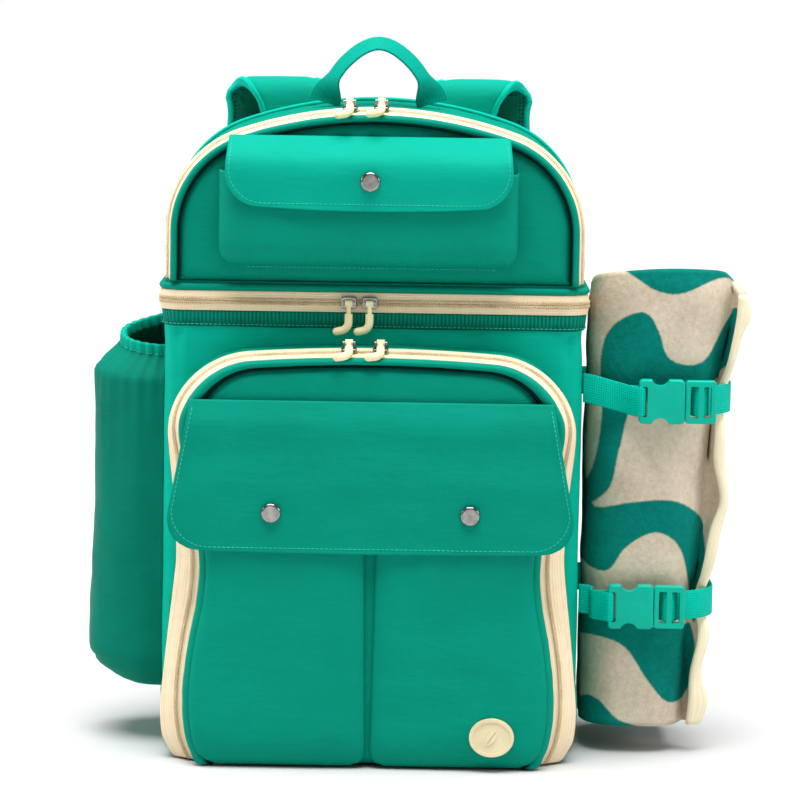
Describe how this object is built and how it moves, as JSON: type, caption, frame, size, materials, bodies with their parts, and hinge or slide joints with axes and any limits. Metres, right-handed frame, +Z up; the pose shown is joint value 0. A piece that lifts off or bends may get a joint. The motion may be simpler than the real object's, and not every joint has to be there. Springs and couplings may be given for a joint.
{
  "type": "insulated picnic backpack",
  "caption": "Boxy soft cooler backpack with a zipped top compartment hinged over it, a drop-down front pocket, a bottle sleeve and a strapped blanket roll.",
  "frame": {"origin": "centre of the base's underside, on the ground", "axes": "+Z up; +Y towards the wearer's back, so the front pocket faces -Y; +X towards the strapped blanket"},
  "size_m": [0.4505, 0.2324, 0.482],
  "materials": {
    "teal_nylon": "woven nylon with a soft satin sheen",
    "teal_webbing": "woven webbing",
    "teal_binding": "ribbed binding tape",
    "teal_mesh": "padded spacer mesh",
    "zip_tape": "woven zip tape with a nylon coil",
    "liner_film": "silver wipe-clean film",
    "foam": "closed-cell foam",
    "base_board": "plain sheet",
    "buckle_plastic": "moulded, fine satin",
    "pull_rubber": "soft satin moulding",
    "nickel": "polished nickel plate",
    "badge_rubber": "soft moulded badge",
    "blanket_cloth": "brushed cloth with a large wavy two-colour pattern",
    "blanket_edge": "folded binding tape"
  },
  "bodies": {
    "cooler_body": {"base_panel": "teal_nylon", "front_wall": "teal_nylon", "back_panel": "teal_nylon", "right_side_panel": "teal_nylon", "left_side_panel": "teal_nylon", "back_pad": "teal_mesh", "base_board": "base_board", "insulation_foam": "foam", "cooler_liner": "liner_film", "rim_binding": "teal_binding", "band_zip_lower": "zip_tape", "pocket_gusset": "teal_nylon", "pocket_zip_outer": "zip_tape", "bottle_sleeve": "teal_nylon", "sleeve_rim": "teal_binding", "blanket_straps": "teal_webbing", "buckle_sockets": "buckle_plastic", "strap_lowers": "teal_nylon", "adjuster_webbing": "teal_webbing"},
    "front_pocket": {"pocket_zip_inner": "zip_tape", "front_pocket_rim": "teal_nylon", "front_pocket_panel": "teal_nylon", "patch_pockets": "teal_nylon", "patch_pocket_studs": "nickel", "badge": "badge_rubber"},
    "lower_flap": {"lower_flap": "teal_nylon", "lower_flap_snaps": "nickel"},
    "lid": {"lid_floor": "teal_nylon", "lid_insulation": "foam", "band_zip_upper": "zip_tape", "top_gusset": "teal_nylon", "top_back_panel": "teal_nylon", "top_zip_outer": "zip_tape", "strap_uppers": "teal_nylon"},
    "carry_handle": {"carry_handle": "teal_webbing"},
    "top_front": {"top_zip_inner": "zip_tape", "top_front_rim": "teal_nylon", "top_front_panel": "teal_nylon", "top_pocket": "teal_nylon", "top_pocket_stud": "nickel"},
    "top_flap": {"top_flap": "teal_nylon", "top_flap_snap": "nickel"},
    "blanket": {"blanket_roll": "blanket_cloth", "blanket_binding": "blanket_edge"},
    "clip_upper": {"buckle_clip_upper": "buckle_plastic"},
    "clip_lower": {"buckle_clip_lower": "buckle_plastic"},
    "lock_right": {"ladder_lock_right": "buckle_plastic"},
    "lock_left": {"ladder_lock_left": "buckle_plastic"},
    "band_slider_right": {"band_slider_right": "nickel"},
    "band_pull_right": {"band_pull_right": "pull_rubber"},
    "band_slider_left": {"band_slider_left": "nickel"},
    "band_pull_left": {"band_pull_left": "pull_rubber"},
    "top_slider_right": {"top_slider_right": "nickel"},
    "top_pull_right": {"top_pull_right": "pull_rubber"},
    "top_slider_left": {"top_slider_left": "nickel"},
    "top_pull_left": {"top_pull_left": "pull_rubber"},
    "pocket_slider_right": {"pocket_slider_right": "nickel"},
    "pocket_pull_right": {"pocket_pull_right": "pull_rubber"},
    "pocket_slider_left": {"pocket_slider_left": "nickel"},
    "pocket_pull_left": {"pocket_pull_left": "pull_rubber"}
  },
  "joints": [
    {"name": "lid_hinge", "type": "hinge", "parent": "cooler_body", "child": "lid", "pos_m": [0, 0.094, 0.3094], "axis": [-1, 0, 0], "range_deg": [0, 100]},
    {"name": "top_front_hinge", "type": "hinge", "parent": "lid", "child": "top_front", "pos_m": [0, -0.052, 0.3205], "axis": [1, 0, 0], "range_deg": [0, 75]},
    {"name": "top_flap_hinge", "type": "hinge", "parent": "top_front", "child": "top_flap", "pos_m": [-0.0035, -0.0534, 0.4205], "axis": [1, 0, 0], "range_deg": [-74, 0]},
    {"name": "front_pocket_hinge", "type": "hinge", "parent": "cooler_body", "child": "front_pocket", "pos_m": [0, -0.093, 0.008], "axis": [1, 0, 0], "range_deg": [0, 70]},
    {"name": "lower_flap_hinge", "type": "hinge", "parent": "front_pocket", "child": "lower_flap", "pos_m": [0, -0.0974, 0.2485], "axis": [1, 0, 0], "range_deg": [-145, 0]},
    {"name": "handle_hinge", "type": "hinge", "parent": "lid", "child": "carry_handle", "pos_m": [0, 0.066, 0.442], "axis": [1, 0, 0], "range_deg": [-15, 60]},
    {"name": "blanket_lift", "type": "slide", "parent": "cooler_body", "child": "blanket", "axis": [0, 0, 1], "range_m": [0, 0.33]},
    {"name": "clip_upper_release", "type": "slide", "parent": "cooler_body", "child": "clip_upper", "axis": [1, 0, 0], "range_m": [0, 0.02]},
    {"name": "clip_lower_release", "type": "slide", "parent": "cooler_body", "child": "clip_lower", "axis": [1, 0, 0], "range_m": [0, 0.02]},
    {"name": "ladder_lock_right_tilt", "type": "hinge", "parent": "cooler_body", "child": "lock_right", "pos_m": [-0.092, 0.1195, 0.161], "axis": [1, 0, 0], "range_deg": [0, 35]},
    {"name": "ladder_lock_left_tilt", "type": "hinge", "parent": "cooler_body", "child": "lock_left", "pos_m": [0.092, 0.1195, 0.161], "axis": [1, 0, 0], "range_deg": [0, 35]},
    {"name": "band_slider_right_travel", "type": "slide", "parent": "cooler_body", "child": "band_slider_right", "axis": [1, 0, 0], "range_m": [-0.1, 0]},
    {"name": "band_pull_right_swing", "type": "hinge", "parent": "band_slider_right", "child": "band_pull_right", "pos_m": [-0.017, -0.0564, 0.3094], "axis": [1, 0, 0], "range_deg": [-100, 0]},
    {"name": "band_slider_left_travel", "type": "slide", "parent": "cooler_body", "child": "band_slider_left", "axis": [1, 0, 0], "range_m": [0, 0.12]},
    {"name": "band_pull_left_swing", "type": "hinge", "parent": "band_slider_left", "child": "band_pull_left", "pos_m": [-0.003, -0.0564, 0.3094], "axis": [1, 0, 0], "range_deg": [-100, 0]},
    {"name": "top_slider_right_travel", "type": "hinge", "parent": "top_front", "child": "top_slider_right", "pos_m": [0, -0.0368, 0.157], "axis": [0, 1, 0], "range_deg": [-9, 0]},
    {"name": "top_pull_right_swing", "type": "hinge", "parent": "top_slider_right", "child": "top_pull_right", "pos_m": [-0.0184, -0.03846, 0.44409], "axis": [-0.9979, 0, -0.0641], "range_deg": [0, 100]},
    {"name": "top_slider_left_travel", "type": "hinge", "parent": "top_front", "child": "top_slider_left", "pos_m": [0, -0.0368, 0.157], "axis": [0, 1, 0], "range_deg": [0, 9]},
    {"name": "top_pull_left_swing", "type": "hinge", "parent": "top_slider_left", "child": "top_pull_left", "pos_m": [0.00307, -0.03846, 0.44467], "axis": [-0.9999, 0, 0.0107], "range_deg": [0, 100]},
    {"name": "pocket_slider_right_travel", "type": "hinge", "parent": "front_pocket", "child": "pocket_slider_right", "pos_m": [0, -0.0782, -0.789], "axis": [0, 1, 0], "range_deg": [-3.4, 0]},
    {"name": "pocket_pull_right_swing", "type": "hinge", "parent": "pocket_slider_right", "child": "pocket_pull_right", "pos_m": [-0.01609, -0.07986, 0.28556], "axis": [-0.9999, 0, -0.015], "range_deg": [0, 100]},
    {"name": "pocket_slider_left_travel", "type": "hinge", "parent": "front_pocket", "child": "pocket_slider_left", "pos_m": [0, -0.0782, -0.789], "axis": [0, 1, 0], "range_deg": [0, 3.4]},
    {"name": "pocket_pull_left_swing", "type": "hinge", "parent": "pocket_slider_left", "child": "pocket_pull_left", "pos_m": [0.00503, -0.07986, 0.28567], "axis": [-1, 0, 0.0047], "range_deg": [0, 100]}
  ]
}
